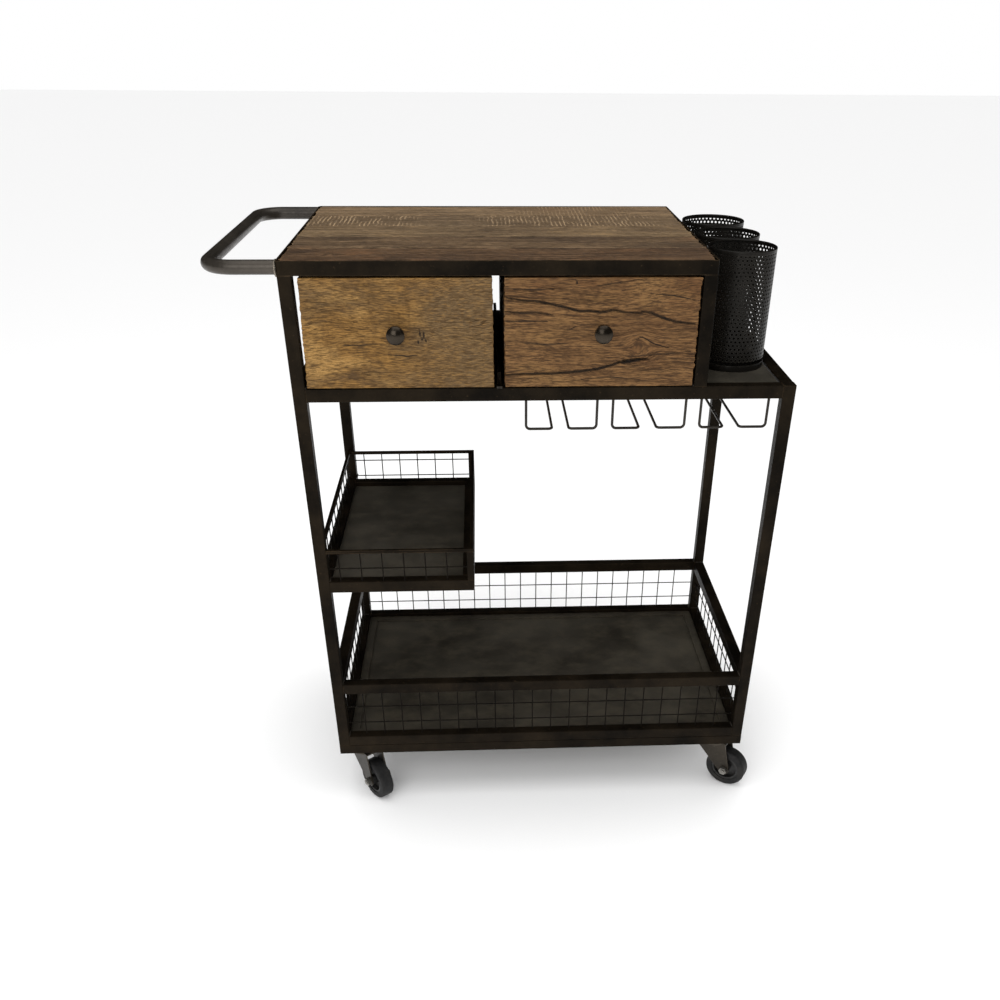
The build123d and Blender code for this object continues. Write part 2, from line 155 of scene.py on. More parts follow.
world = bpy.data.worlds.new("sky")
world.use_nodes = True
backdrop = world.node_tree.nodes["Background"]
backdrop.inputs["Color"].default_value = (1.0, 1.0, 1.0, 1.0)
backdrop.inputs["Strength"].default_value = 1.0
world.cycles_visibility.glossy = False
bpy.context.scene.world = world
bpy.context.scene.view_settings.view_transform = "Standard"
softboxes = (
    ("overhead_softbox", (0.1, -0.3, 2.6), (4.0, 0.0, 0.0), 2.2, 22.0),
    ("front_softbox", (-0.9, -2.6, 1.9), (58.0, 0.0, -18.0), 1.8, 24.0),
)
for name, place, turn, width, power in softboxes:
    bpy.ops.object.light_add(
        type="AREA", location=place, rotation=[math.radians(angle) for angle in turn]
    )
    lamp = bpy.context.object
    lamp.name = name
    lamp.data.size = width
    lamp.data.energy = power


# ---- Steel tube frame
# Square steel tube with an angle-iron ring round the top, welded into one frame. It is blackened,
# then rubbed back to brown metal along its corners and waxed; the lighter corners are partly that
# wear and partly a painted highlight.
def calc(tree, operation, first, second=0.5):
    return add(tree, "Math", {0: first, 1: second}, operation=operation)


def bump(tree, shader, height, strength, distance):
    made = add(tree, "Bump", {"Height": height, "Strength": strength, "Distance": distance})
    tree.links.new(made, shader.inputs["Normal"])


# The lighter tone laid through this mask is partly wear and partly a painted highlight on the
# corners.
def edge_wear_and_highlight_mask(tree, radius, ragged):
    """White where a surface turns a corner within the radius, broken up by a noise."""
    rounded = add(tree, "Bevel", {"Radius": radius}, samples=6)
    true_normal = tree.nodes.new("ShaderNodeNewGeometry").outputs["Normal"]
    made = tree.nodes.new("ShaderNodeVectorMath")
    made.operation = "DOT_PRODUCT"
    tree.links.new(rounded, made.inputs[0])
    tree.links.new(true_normal, made.inputs[1])
    corner = ramp(tree, made.outputs["Value"], 0.80, 0.985, 1.0, 0.0)
    return calc(tree, "MULTIPLY", corner, ragged)


def patina_steel(name, dark, brown, worn_and_highlight, roughness, metallic=0.35, specular=0.06, edge_wear_and_highlight=0.8):
    """Dark steel clouded in two tones, with a third, lighter one in specks and along its corners,
    where it is partly abrasion and partly a painted highlight.
    """
    material, tree, shader = new_material(name, roughness, metallic, specular)
    point = object_point(tree)
    clouds = noise(tree, point, 11.0, 6.0, 0.65)
    specks = noise(tree, point, 170.0, 4.0, 0.7)
    edge_breakup = noise(tree, point, 38.0, 5.0, 0.7)
    colour = blend(tree, ramp(tree, clouds, 0.36, 0.68), dark, brown)
    colour = blend(tree, ramp(tree, specks, 0.62, 0.78, 0.0, 0.5), colour, worn_and_highlight)
    # Lighter corners in the third tone: partly wear and partly a painted highlight.
    edges = edge_wear_and_highlight_mask(tree, 0.0016, ramp(tree, edge_breakup, 0.40, 0.62, 0.1, 1.0))
    colour = blend(tree, calc(tree, "MULTIPLY", edges, edge_wear_and_highlight), colour, worn_and_highlight)
    tree.links.new(colour, shader.inputs["Base Color"])
    dull = ramp(tree, specks, 0.3, 0.7, roughness - 0.08, roughness + 0.12)
    tree.links.new(dull, shader.inputs["Roughness"])
    bump(tree, shader, calc(tree, "ADD", specks, clouds), 0.25, 0.0006)
    return material


def coat(material, *names):
    """Puts a finish on CAD nodes."""
    for name in names:
        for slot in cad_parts[name].material_slots:
            slot.material = material


tube_steel = patina_steel(
    "tube_steel",
    dark=(0.0045, 0.0034, 0.0022), brown=(0.018, 0.0125, 0.0070), worn_and_highlight=(0.095, 0.062, 0.034),
    roughness=0.46,
)
coat(
    tube_steel,
    "front_left_leg", "rear_left_leg", "front_right_leg", "rear_right_leg",
    "cabinet_posts", "top_frame", "deck_front_rail", "deck_rear_rail", "deck_side_rails",
    "left_drawer_runner", "right_drawer_runner", "center_drawer_guide",
    "basket_rails", "basket_posts", "basket_rim",
    "shelf_guard_rails", "upper_base_rails", "lower_base_rails",
)

# ---- Push handle
# Round steel tube bent twice, both ends welded to the left end of the top. Hands have polished it
# lighter than the frame.
handle_steel = patina_steel(
    "handle_steel",
    dark=(0.035, 0.030, 0.025), brown=(0.085, 0.072, 0.058), worn_and_highlight=(0.22, 0.19, 0.155),
    roughness=0.34, metallic=0.6, specular=0.5,
)
coat(handle_steel, "push_handle")

# ---- Stemware rods
# Six round steel rods, bent so that each pair leaves an open slot for the stems of glasses. Both
# ends of a rod are welded up under the deck.
rod_steel = patina_steel(
    "rod_steel",
    dark=(0.020, 0.017, 0.014), brown=(0.040, 0.033, 0.025), worn_and_highlight=(0.12, 0.10, 0.075),
    roughness=0.38, metallic=0.5, specular=0.4,
)
coat(rod_steel, "stemware_rods")

# ---- Wire mesh
# Thin drawn steel wire, spot welded in squares, in the sides of the basket and of the bottom
# shelf. It is blackened with the frame.
wire_steel = patina_steel(
    "wire_steel",
    dark=(0.0045, 0.0038, 0.0030), brown=(0.010, 0.008, 0.006), worn_and_highlight=(0.05, 0.040, 0.028),
    roughness=0.50, metallic=0.3, specular=0.05,
)
coat(wire_steel, "basket_mesh", "shelf_mesh")


# ---- Sheet floors
# Flat steel sheet let into the frame: the bottom shelf, the basket's floor and the ledge beside
# the drawers. Chemical blackening left it mottled grey and olive, under wax.
def stretch(tree, source, scale, shift=(0.0, 0.0, 0.0)):
    """Coordinates moved and stretched before a pattern reads them."""
    return add(tree, "Mapping", {"Vector": source, "Location": shift, "Scale": scale})


def sheet_finish(name, deep, grey, olive, roughness):
    """Blackened sheet: deep and grey clouds, olive stains, pale grit, and lighter corners that are
    partly abrasion and partly a painted highlight.
    """
    material, tree, shader = new_material(name, roughness, metallic=0.25, specular=0.3)
    point = object_point(tree)
    clouds = noise(tree, point, 6.0, 7.0, 0.62, 0.6)
    stains = noise(tree, stretch(tree, point, (1.0, 1.4, 1.0), (3.1, 1.7, 0.4)), 21.0, 6.0, 0.7)
    grit = noise(tree, point, 420.0, 3.0, 0.6)
    colour = blend(tree, ramp(tree, clouds, 0.34, 0.66), deep, grey)
    colour = blend(tree, ramp(tree, stains, 0.45, 0.72, 0.0, 0.75), colour, olive)
    colour = blend(tree, ramp(tree, grit, 0.60, 0.80, 0.0, 0.25), colour, (0.12, 0.11, 0.09))
    # Lighter corners: partly wear and partly a painted highlight.
    edges = edge_wear_and_highlight_mask(tree, 0.002, ramp(tree, stains, 0.4, 0.6))
    colour = blend(tree, calc(tree, "MULTIPLY", edges, 0.5), colour, (0.11, 0.09, 0.065))
    tree.links.new(colour, shader.inputs["Base Color"])
    dull = ramp(tree, clouds, 0.3, 0.7, roughness - 0.10, roughness + 0.14)
    tree.links.new(dull, shader.inputs["Roughness"])
    bump(tree, shader, calc(tree, "ADD", stains, grit), 0.18, 0.0005)
    return material


shelf_sheet = sheet_finish(
    "shelf_sheet",
    deep=(0.026, 0.022, 0.016), grey=(0.060, 0.052, 0.038), olive=(0.080, 0.068, 0.046),
    roughness=0.46,
)
coat(shelf_sheet, "shelf_floor")
basket_sheet = sheet_finish(
    "basket_sheet",
    deep=(0.030, 0.027, 0.020), grey=(0.062, 0.055, 0.042), olive=(0.085, 0.074, 0.054),
    roughness=0.44,
)
coat(basket_sheet, "basket_floor", "ledge_plate")


# ---- Weld beads
# Short runs of overlapping lumps where rails meet legs, left as laid and blackened over. A short
# one stands on the deck rail in the gap between the drawers.
def deselect():
    if bpy.context.object and bpy.context.object.mode != "OBJECT":
        bpy.ops.object.mode_set(mode="OBJECT")
    bpy.ops.object.select_all(action="DESELECT")


def hold(piece):
    """Makes a piece the only one that an operator acts on."""
    deselect()
    piece.select_set(True)
    bpy.context.view_layer.objects.active = piece


def settle(piece, name, material, body):
    """Puts a piece's place into its mesh, names and finishes it, and rides it on its body."""
    hold(piece)
    bpy.ops.object.transform_apply(location=True, rotation=True, scale=True)
    piece.name = name
    piece.data.name = name
    piece.data.materials.clear()
    piece.data.materials.append(material)
    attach(piece, body)


def copy_of(piece):
    """A copy with its own mesh."""
    twin = piece.copy()
    twin.data = piece.data.copy()
    bpy.context.scene.collection.objects.link(twin)
    return twin


def join(pieces):
    hold(pieces[0])
    for piece in pieces:
        piece.select_set(True)
    bpy.ops.object.join()
    return bpy.context.object


lump_radius = 0.0024
lump_pitch = 0.0021
deselect()
bpy.ops.mesh.primitive_ico_sphere_add(
    subdivisions=2, radius=lump_radius, location=(0.0, 0.0, 0.0)
)
lump = bpy.context.object
bpy.ops.object.mode_set(mode="EDIT")
bpy.ops.transform.resize(value=(0.62, 1.0, 0.85), center_override=(0.0, 0.0, 0.0))
bpy.ops.mesh.bevel(offset=0.0001, affect="VERTICES")
bpy.ops.object.mode_set(mode="OBJECT")
lumps = []
hand = random.Random(7)


def lay_bead(start, end, size):
    """Lumps about 2 mm apart along a seam, each turned to it and a little uneven."""
    start, end = Vector(start), Vector(end)
    count = max(3, round((end - start).length / lump_pitch))
    for step in range(count):
        twin = copy_of(lump)
        twin.location = start.lerp(end, (step + 0.5) / count)
        twin.rotation_euler = (end - start).to_track_quat("X", "Z").to_euler()
        grow = size * hand.uniform(0.8, 1.15)
        twin.scale = (grow, grow * hand.uniform(0.8, 1.1), grow)
        lumps.append(twin)


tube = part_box("front_left_leg")[1][0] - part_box("front_left_leg")[0][0]
frame_low, frame_high = (Vector(corner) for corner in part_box("lower_base_rails"))
sides = ((frame_low.x, 1), (frame_high.x, -1))
ends = ((frame_low.y, 1), (frame_high.y, -1))
guard_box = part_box("shelf_guard_rails")
levels = (guard_box[0][2], guard_box[1][2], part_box("upper_base_rails")[1][2])
top_box, deck_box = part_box("top_frame"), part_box("deck_front_rail")
inset = 0.0025
seam_size = 0.8
for x, right in sides:
    for y, back in ends:
        leg_x, leg_y = x + right * tube, y + back * tube
        for z in levels:
            lay_bead((leg_x, y + back * inset, z), (leg_x, leg_y - back * inset, z), seam_size)
            lay_bead((x + right * inset, leg_y, z), (leg_x - right * inset, leg_y, z), seam_size)
        z = deck_box[0][2]
        lay_bead((leg_x, y + back * inset, z), (leg_x, leg_y - back * inset, z), seam_size)
post_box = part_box("cabinet_posts")
for x, right in ((frame_low.x, 1), (post_box[1][0], -1)):
    for y, back in ends:
        leg_x, leg_y = x + right * tube, y + back * tube
        for z in (top_box[0][2], deck_box[1][2]):
            lay_bead((leg_x, y + back * inset, z), (leg_x, leg_y - back * inset, z), seam_size)
basket_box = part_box("basket_rails")
for y, back in ends:
    for z in (basket_box[0][2], basket_box[1][2]):
        leg_x = frame_low.x + tube
        lay_bead((leg_x, y + back * inset, z), (leg_x, y + back * (tube - inset), z), seam_size)
guide_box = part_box("center_drawer_guide")
guide_middle = (guide_box[0][0] + guide_box[1][0]) / 2
half_run = 0.004
lift = 0.001
guide_size = 1.1
lay_bead(
    (guide_middle - half_run, frame_low.y + lift, deck_box[1][2] + lift),
    (guide_middle + half_run, frame_low.y + lift, deck_box[1][2] + lift),
    guide_size,
)
beads = join(lumps)
bpy.data.objects.remove(lump)
bpy.ops.object.shade_smooth()
weld_steel = patina_steel(
    "weld_steel",
    dark=(0.035, 0.030, 0.025), brown=(0.065, 0.053, 0.040), worn_and_highlight=(0.20, 0.17, 0.13),
    roughness=0.36, metallic=0.6, specular=0.5, edge_wear_and_highlight=0.3,
)
settle(beads, "weld_beads", weld_steel, "cart")

# The two handle welds are heavier and were brushed bright.
heavy_radius = 0.0030
lumps_round = 26
stand_off = 0.0002
top_clearance = 0.0026
lumps = []
deselect()
bpy.ops.mesh.primitive_ico_sphere_add(
    subdivisions=2, radius=heavy_radius, location=(0.0, 0.0, 0.0)
)
lump = bpy.context.object
bpy.ops.object.mode_set(mode="EDIT")
bpy.ops.transform.resize(value=(0.6, 0.9, 0.75), center_override=(0.0, 0.0, 0.0))
bpy.ops.object.mode_set(mode="OBJECT")
handle_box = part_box("push_handle")
handle_radius = (handle_box[1][2] - handle_box[0][2]) / 2
reach = handle_radius + stand_off
for y in (handle_box[0][1] + handle_radius, handle_box[1][1] - handle_radius):
    for step in range(lumps_round):
        turn = 2 * math.pi * step / lumps_round
        twin = copy_of(lump)
        height = handle_box[0][2] + handle_radius + reach * math.sin(turn)
        twin.location = (
            top_box[0][0] - 0.0010 - 0.0006 * hand.random(),
            y + reach * math.cos(turn),
            min(height, cad_box[1][2] - top_clearance),
        )
        twin.rotation_euler = (turn, 0.0, 0.0)
        grow = hand.uniform(0.75, 1.1)
        twin.scale = (grow, grow, grow)
        lumps.append(twin)
handle_welds = join(lumps)
bpy.data.objects.remove(lump)
bpy.ops.object.shade_smooth()
bright_weld = patina_steel(
    "bright_weld",
    dark=(0.12, 0.10, 0.08), brown=(0.30, 0.26, 0.21), worn_and_highlight=(0.55, 0.50, 0.42),
    roughness=0.30, metallic=0.8, specular=0.5, edge_wear_and_highlight=0.4,
)
settle(handle_welds, "handle_welds", bright_weld, "cart")


# ---- Top planks
# Five boards of old timber let into the angle ring side by side. The saw left ridges across them,
# the weather opened cracks along them, and their edges are rounded by wear.
def pick(piece, kind, chosen):
    """Selects vertices, edges or faces of a piece by a true-or-false row, and enters edit mode."""
    hold(piece)
    mesh = piece.data
    parts = {"VERT": mesh.vertices, "EDGE": mesh.edges, "FACE": mesh.polygons}
    for part in parts.values():
        part.foreach_set("select", np.zeros(len(part), bool))
    parts[kind].foreach_set("select", np.asarray(chosen, bool))
    bpy.context.tool_settings.mesh_select_mode = [kind == each for each in parts]
    bpy.ops.object.mode_set(mode="EDIT")


def spots(piece):
    """The vertices' places as rows."""
    places = np.empty(len(piece.data.vertices) * 3)
    piece.data.vertices.foreach_get("co", places)
    return places.reshape(-1, 3)


def cut_grid(piece, pitch):
    """Cuts a block across all three ways into cells of about the pitch."""
    for axis in range(3):
        places = spots(piece)
        pairs = np.empty(len(piece.data.edges) * 2, int)
        piece.data.edges.foreach_get("vertices", pairs)
        along = np.abs(places[pairs[1::2]] - places[pairs[::2]])
        pick(piece, "EDGE", along[:, axis] > along.sum(axis=1) * 0.9)
        span = np.ptp(places[:, axis])
        bpy.ops.mesh.subdivide(number_cuts=max(1, round(span / pitch[axis]) - 1))
        bpy.ops.object.mode_set(mode="OBJECT")


def roughen(piece, name, size, depth, squash):
    """Pushes the surface in and out by a noise that is drawn out along the grain."""
    texture = bpy.data.textures.new(name, "CLOUDS")
    texture.noise_scale = size
    texture.noise_depth = 3
    hold(piece)
    bpy.ops.object.mode_set(mode="EDIT")
    bpy.ops.mesh.select_all(action="SELECT")
    bpy.ops.transform.resize(value=(1 / squash, 1.0, 1.0), center_override=(0.0, 0.0, 0.0))
    bpy.ops.object.mode_set(mode="OBJECT")
    push = piece.modifiers.new(name, "DISPLACE")
    push.texture = texture
    push.direction = "NORMAL"
    push.strength = depth
    push.mid_level = 0.62
    bpy.ops.object.modifier_apply(modifier=push.name)
    bpy.ops.object.mode_set(mode="EDIT")
    bpy.ops.mesh.select_all(action="SELECT")
    bpy.ops.transform.resize(value=(squash, 1.0, 1.0), center_override=(0.0, 0.0, 0.0))
    bpy.ops.object.mode_set(mode="OBJECT")


def block(low, high):
    """A primitive block between two corners, with its place in its mesh."""
    deselect()
    low, high = Vector(low), Vector(high)
    bpy.ops.mesh.primitive_cube_add(size=1.0, location=(low + high) / 2, scale=high - low)
    bpy.ops.object.transform_apply(location=True, rotation=True, scale=True)
    return bpy.context.object


def ease_edges(piece, width):
    hold(piece)
    bevel = piece.modifiers.new("ease", "BEVEL")
    bevel.width = width
    bevel.segments = 2
    bevel.limit_method = "ANGLE"
    bevel.angle_limit = math.radians(50)
    bpy.ops.object.modifier_apply(modifier="ease")


def how_near(places, path):
    """Each place's distance to a bent line, and how far along the line its nearest point is."""
    best = np.full(len(places), 9.0)
    share = np.zeros(len(places))
    for step, (start, end) in enumerate(zip(path[:-1], path[1:])):
        start, end = np.array(start), np.array(end)
        run = end - start
        along = np.clip(((places - start) @ run) / (run @ run), 0.0, 1.0)
        away = np.linalg.norm(places - start - along[:, None] * run, axis=1)
        nearer = away < best
        best[nearer] = away[nearer]
        share[nearer] = ((step + along) / (len(path) - 1))[nearer]
    return best, share


def open_cracks(piece, face, low, high, cracks):
    """Sinks cracks into one face, and marks them for the finish, which paints them near-black as
    painted shade inside them. A crack is its width, its depth and its points as shares of the
    face's length and height."""
    axes = (0, 2) if face == 1 else (0, 1)
    size = np.array([high[a] - low[a] for a in axes])
    corner = np.array([low[a] for a in axes])
    places = spots(piece)
    outer = places[:, 1] < low[1] + 0.004 if face == 1 else places[:, 2] > high[2] - 0.004
    flat = places[:, axes]
    crack_shade_mark = np.zeros(len(places))
    for width, depth, path in cracks:
        points = [corner + size * np.array(point) for point in path]
        away, share = how_near(flat, points)
        middle = np.sin(np.pi * np.clip(share, 0.04, 0.96))
        taper = max(1.5 * width, 0.0013) * (0.55 + 0.45 * middle)
        crack_shade_mark = np.maximum(crack_shade_mark, np.clip(1.25 - away / taper, 0.0, 1.0) * outer)
        for part, reach in ((0.4, 1.0), (0.6, 0.5)):
            pick(piece, "VERT", (away < taper * reach) & outer)
            move = (0.0, depth * part, 0.0) if face == 1 else (0.0, 0.0, -depth * part)
            bpy.ops.transform.translate(value=move)
            bpy.ops.object.mode_set(mode="OBJECT")
    layer = piece.data.attributes.new("crack", "FLOAT", "POINT")
    layer.data.foreach_set("value", crack_shade_mark.astype(np.float32))


def between(tree, value, low, high, soft):
    """White between two values, with soft ends."""
    rise = ramp(tree, value, low - soft, low + soft)
    fall = ramp(tree, value, high - soft, high + soft, 1.0, 0.0)
    return calc(tree, "MULTIPLY", rise, fall)


def old_wood(
    name, tones, patches, shift, saw=(), knots=(), fibre=(3.0, 150.0, 150.0), fade=None, stains=0.0
):
    """Timber along x: tones are its dark, middle and light, patches its blotches as colour, cover
    and size. Saw marks are given as two values of x and a strength, and knots, which the grain
    flows round, as place and radius. Fade is two values of x and the tone that lies past them."""
    roughness = 0.6
    deep = tuple(tone * 0.55 for tone in tones[0])
    material, tree, shader = new_material(name, roughness, specular=0.18)
    point = object_point(tree)
    for centre, radius in knots:
        offset = add(tree, "VectorMath", {0: point, 1: centre}, operation="SUBTRACT")
        squared = tree.nodes.new("ShaderNodeVectorMath")
        squared.operation = "DOT_PRODUCT"
        tree.links.new(offset, squared.inputs[0])
        tree.links.new(offset, squared.inputs[1])
        near = calc(tree, "DIVIDE", squared.outputs["Value"], -radius * radius)
        pull = calc(tree, "SUBTRACT", 1.0, calc(tree, "EXPONENT", near))
        tame = add(tree, "CombineXYZ", {0: 1.0, 1: pull, 2: pull})
        bent = add(tree, "VectorMath", {0: offset, 1: tame}, operation="MULTIPLY")
        point = add(tree, "VectorMath", {0: bent, 1: centre}, operation="ADD")
    sway = tree.nodes.new("ShaderNodeTexNoise")
    sway.inputs["Scale"].default_value = 7.0
    sway.inputs["Detail"].default_value = 2.0
    tree.links.new(stretch(tree, point, (0.8, 1.6, 1.6), shift), sway.inputs["Vector"])
    lean = add(
        tree,
        "VectorMath",
        {0: sway.outputs["Color"], 1: (0.0, 0.020, 0.020)},
        operation="MULTIPLY",
    )
    grain_point = add(tree, "VectorMath", {0: point, 1: lean}, operation="ADD")
    fine = tuple(4.0 * size for size in fibre)
    short = tuple(95.0 if size < 30.0 else 900.0 for size in fibre)
    bands = noise(tree, stretch(tree, grain_point, fibre, shift), 1.0, 7.0, 0.66)
    lines = noise(tree, stretch(tree, grain_point, fine, shift), 1.0, 5.0, 0.7)
    dashes = noise(tree, stretch(tree, grain_point, short, shift), 1.0, 3.0, 0.6)
    colour = blend(tree, ramp(tree, bands, 0.36, 0.52), tones[0], tones[1])
    colour = blend(tree, ramp(tree, bands, 0.50, 0.68), colour, tones[2])
    for index, (tone, cover, size) in enumerate(patches):
        apart = (index * 3.7, index * 1.9, shift[2])
        moved = stretch(tree, point, (size, size * 2.2, size * 2.2), apart)
        clouds = noise(tree, moved, 1.0, 4.0, 0.6, 0.4)
        colour = blend(tree, ramp(tree, clouds, 0.60 - cover, 0.74 - cover, 0.0, 0.9), colour, tone)
    if fade:
        start, end, tone = fade
        ragged = noise(tree, stretch(tree, point, (9.0, 16.0, 16.0), shift), 1.0, 4.0, 0.6)
        along = tree.nodes.new("ShaderNodeSeparateXYZ")
        tree.links.new(point, along.inputs[0])
        spread = calc(tree, "MULTIPLY", calc(tree, "SUBTRACT", ragged, 0.5), 0.30)
        place = calc(tree, "ADD", along.outputs["X"], spread)
        colour = blend(tree, ramp(tree, place, start, end, 0.0, 0.8), colour, tone)
    if stains:
        upright = noise(tree, stretch(tree, point, (75.0, 10.0, 13.0), shift), 1.0, 3.0, 0.6)
        colour = blend(tree, ramp(tree, upright, 0.57, 0.72, 0.0, stains), colour, tones[0])
    colour = blend(tree, ramp(tree, lines, 0.40, 0.51, 0.85, 0.0), colour, deep)
    colour = blend(tree, ramp(tree, dashes, 0.40, 0.50, 0.7, 0.0), colour, deep)
    colour = blend(tree, ramp(tree, dashes, 0.54, 0.66, 0.0, 0.5), colour, tones[2])
    coarse = calc(tree, "MULTIPLY", bands, 0.6)
    height = calc(tree, "ADD", coarse, calc(tree, "MULTIPLY", lines, 0.6))
    for low, high, strength in saw:
        x_place = tree.nodes.new("ShaderNodeSeparateXYZ")
        tree.links.new(point, x_place.inputs[0])
        zone = between(tree, x_place.outputs["X"], low, high, 0.03)
        bars = add(
            tree,
            "TexWave",
            {
                "Vector": point,
                "Scale": 47.0,
                "Distortion": 3.4,
                "Detail": 3.0,
                "Detail Scale": 0.9,
            },
            bands_direction="X",
        )
        broken = noise(tree, stretch(tree, point, (60.0, 22.0, 22.0), shift), 1.0, 3.0, 0.6)
        bars = calc(tree, "MULTIPLY", ramp(tree, bars, 0.45, 0.95), ramp(tree, broken, 0.42, 0.60))
        bars = calc(tree, "MULTIPLY", bars, zone)
        colour = blend(tree, calc(tree, "MULTIPLY", zone, 0.5), colour, tones[0])
        pale = tuple(min(1.0, tone * 1.7) for tone in tones[2])
        colour = blend(tree, calc(tree, "MULTIPLY", bars, strength), colour, pale)
        height = calc(tree, "ADD", height, calc(tree, "MULTIPLY", bars, 0.8))
    split_size = tuple(size * 0.55 for size in fibre)
    split_point = stretch(tree, grain_point, split_size, (3.3, 8.1, shift[2]))
    splits = noise(tree, split_point, 1.0, 2.0, 0.5)
    ridge = calc(tree, "ABSOLUTE", calc(tree, "SUBTRACT", splits, 0.5))
    patchy = noise(tree, stretch(tree, point, (6.0, 24.0, 24.0), shift), 1.0, 2.0, 0.5)
    thin = ramp(tree, ridge, 0.004, 0.016, 1.0, 0.0)
    split = calc(tree, "MULTIPLY", thin, ramp(tree, patchy, 0.50, 0.62))
    colour = blend(tree, calc(tree, "MULTIPLY", split, 0.75), colour, deep)
    height = calc(tree, "SUBTRACT", height, split)
    # Near-black along the marked cracks and seams: painted shade inside them.
    crack_shade_mark = tree.nodes.new("ShaderNodeAttribute")
    crack_shade_mark.attribute_name = "crack"
    colour = blend(tree, ramp(tree, crack_shade_mark.outputs["Fac"], 0.25, 0.85), colour, (0.012, 0.008, 0.005))
    # Lighter edges: partly wear and partly a painted highlight where the edges catch the light.
    edge_breakup = noise(tree, point, 60.0, 4.0, 0.7)
    edges = edge_wear_and_highlight_mask(tree, 0.0022, ramp(tree, edge_breakup, 0.35, 0.6, 0.15, 1.0))
    worn_and_highlight = tuple(min(1.0, tone * 1.5) for tone in tones[2])
    colour = blend(tree, calc(tree, "MULTIPLY", edges, 0.3), colour, worn_and_highlight)
    tree.links.new(colour, shader.inputs["Base Color"])
    dull = ramp(tree, bands, 0.3, 0.7, roughness + 0.12, roughness - 0.10)
    tree.links.new(dull, shader.inputs["Roughness"])
    bump(tree, shader, height, 0.9, 0.0018)
    return material


left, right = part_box("top_plank_1")[0][0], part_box("top_plank_1")[1][0]
length = right - left
# The tones step darker from top_plank_5 at the rear to top_plank_1 at the front, which is painted
# shade across the top.
plank_looks_and_shade = {
    "top_plank_1": (
        ((0.055, 0.028, 0.012), (0.105, 0.057, 0.026), (0.182, 0.105, 0.050)),
        (((0.050, 0.030, 0.018), 0.10, 6.0), ((0.188, 0.091, 0.037), 0.05, 8.0)),
        (),
        ((0.0010, 0.0020, ((0.02, 0.55), (0.15, 0.50), (0.30, 0.56), (0.42, 0.52))),
         (0.0008, 0.0016, ((0.50, 0.35), (0.62, 0.40), (0.75, 0.33))),
         (0.0010, 0.0018, ((0.70, 0.72), (0.82, 0.68), (0.96, 0.74)))),
    ),
    "top_plank_2": (
        ((0.077, 0.045, 0.022), (0.138, 0.084, 0.041), (0.221, 0.141, 0.072)),
        (((0.061, 0.038, 0.022), 0.12, 5.0), ((0.221, 0.113, 0.047), 0.04, 7.0)),
        (),
        ((0.0012, 0.0024, ((0.08, 0.10), (0.30, 0.06), (0.50, 0.10), (0.70, 0.05))),
         (0.0008, 0.0015, ((0.12, 0.62), (0.25, 0.66), (0.33, 0.60))),
         (0.0007, 0.0013, ((0.60, 0.55), (0.78, 0.60), (0.90, 0.55)))),
    ),
    "top_plank_3": (
        ((0.105, 0.066, 0.032), (0.177, 0.113, 0.056), (0.259, 0.173, 0.089)),
        (((0.094, 0.058, 0.031), 0.08, 5.0), ((0.287, 0.181, 0.081), 0.05, 9.0)),
        (),
        ((0.0009, 0.0018, ((0.05, 0.30), (0.18, 0.34), (0.32, 0.28))),
         (0.0008, 0.0015, ((0.45, 0.42), (0.58, 0.36), (0.66, 0.42)))),
    ),
    "top_plank_4": (
        ((0.105, 0.066, 0.033), (0.171, 0.111, 0.057), (0.254, 0.173, 0.096)),
        (((0.088, 0.054, 0.029), 0.10, 6.0),),
        ((left, left + 0.26 * length, 0.75), (left + 0.47 * length, left + 0.93 * length, 0.60)),
        ((0.0014, 0.0030, ((0.30, 0.62), (0.40, 0.50), (0.46, 0.42))),
         (0.0013, 0.0028, ((0.62, 0.22), (0.70, 0.30), (0.76, 0.40), (0.83, 0.34))),
         (0.0008, 0.0016, ((0.05, 0.80), (0.20, 0.86), (0.33, 0.80)))),
    ),
    "top_plank_5": (
        ((0.132, 0.083, 0.042), (0.221, 0.144, 0.074), (0.309, 0.204, 0.109)),
        (((0.116, 0.073, 0.039), 0.08, 5.0), ((0.221, 0.122, 0.055), 0.03, 7.0)),
        ((left + 0.58 * length, left + 0.86 * length, 0.30),),
        ((0.0014, 0.0030, ((0.0, 0.08), (0.10, 0.05), (0.24, 0.10), (0.34, 0.06))),
         (0.0010, 0.0022, ((0.84, 0.75), (0.855, 0.45), (0.865, 0.15))),
         (0.0008, 0.0016, ((0.40, 0.55), (0.52, 0.50), (0.60, 0.56)))),
    ),
}
plank_knots = {
    "top_plank_3": ((0.66, 0.75, 0.022), (0.80, 0.55, 0.016)),
    "top_plank_1": ((0.10, 0.45, 0.014),),
}
plank_grid = (0.0020, 0.0014, 0.006)
# Thin dark lines along both long edges of each board: painted shade in the seams between the
# boards.
seams = (
    (0.0010, 0.0014, ((0.0, 0.0), (0.5, 0.008), (1.0, 0.0))),
    (0.0010, 0.0014, ((0.0, 1.0), (0.5, 0.992), (1.0, 1.0))),
)
for index, (name, (tones, patches, saw, cracks)) in enumerate(plank_looks_and_shade.items()):
    low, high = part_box(name)
    plank = block(low, high)
    cut_grid(plank, plank_grid)
    ease_edges(plank, 0.0009)
    roughen(plank, name + "_waves", 0.030, 0.0014, 9.0)
    roughen(plank, name + "_fibres", 0.006, 0.0007, 14.0)
    open_cracks(plank, 2, low, high, cracks + seams)
    hold(plank)
    bpy.ops.object.shade_smooth_by_angle(angle=math.radians(42))
    knots = [
        ((left + share * length, low[1] + part * (high[1] - low[1]), high[2]), radius)
        for share, part, radius in plank_knots.get(name, ())
    ]
    shift = (index * 2.3, index * 5.1, index * 1.7)
    wood = old_wood(name + "_wood", tones, patches, shift, saw, knots)
    settle(plank, name + "_board", wood, "cart")
    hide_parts(name)

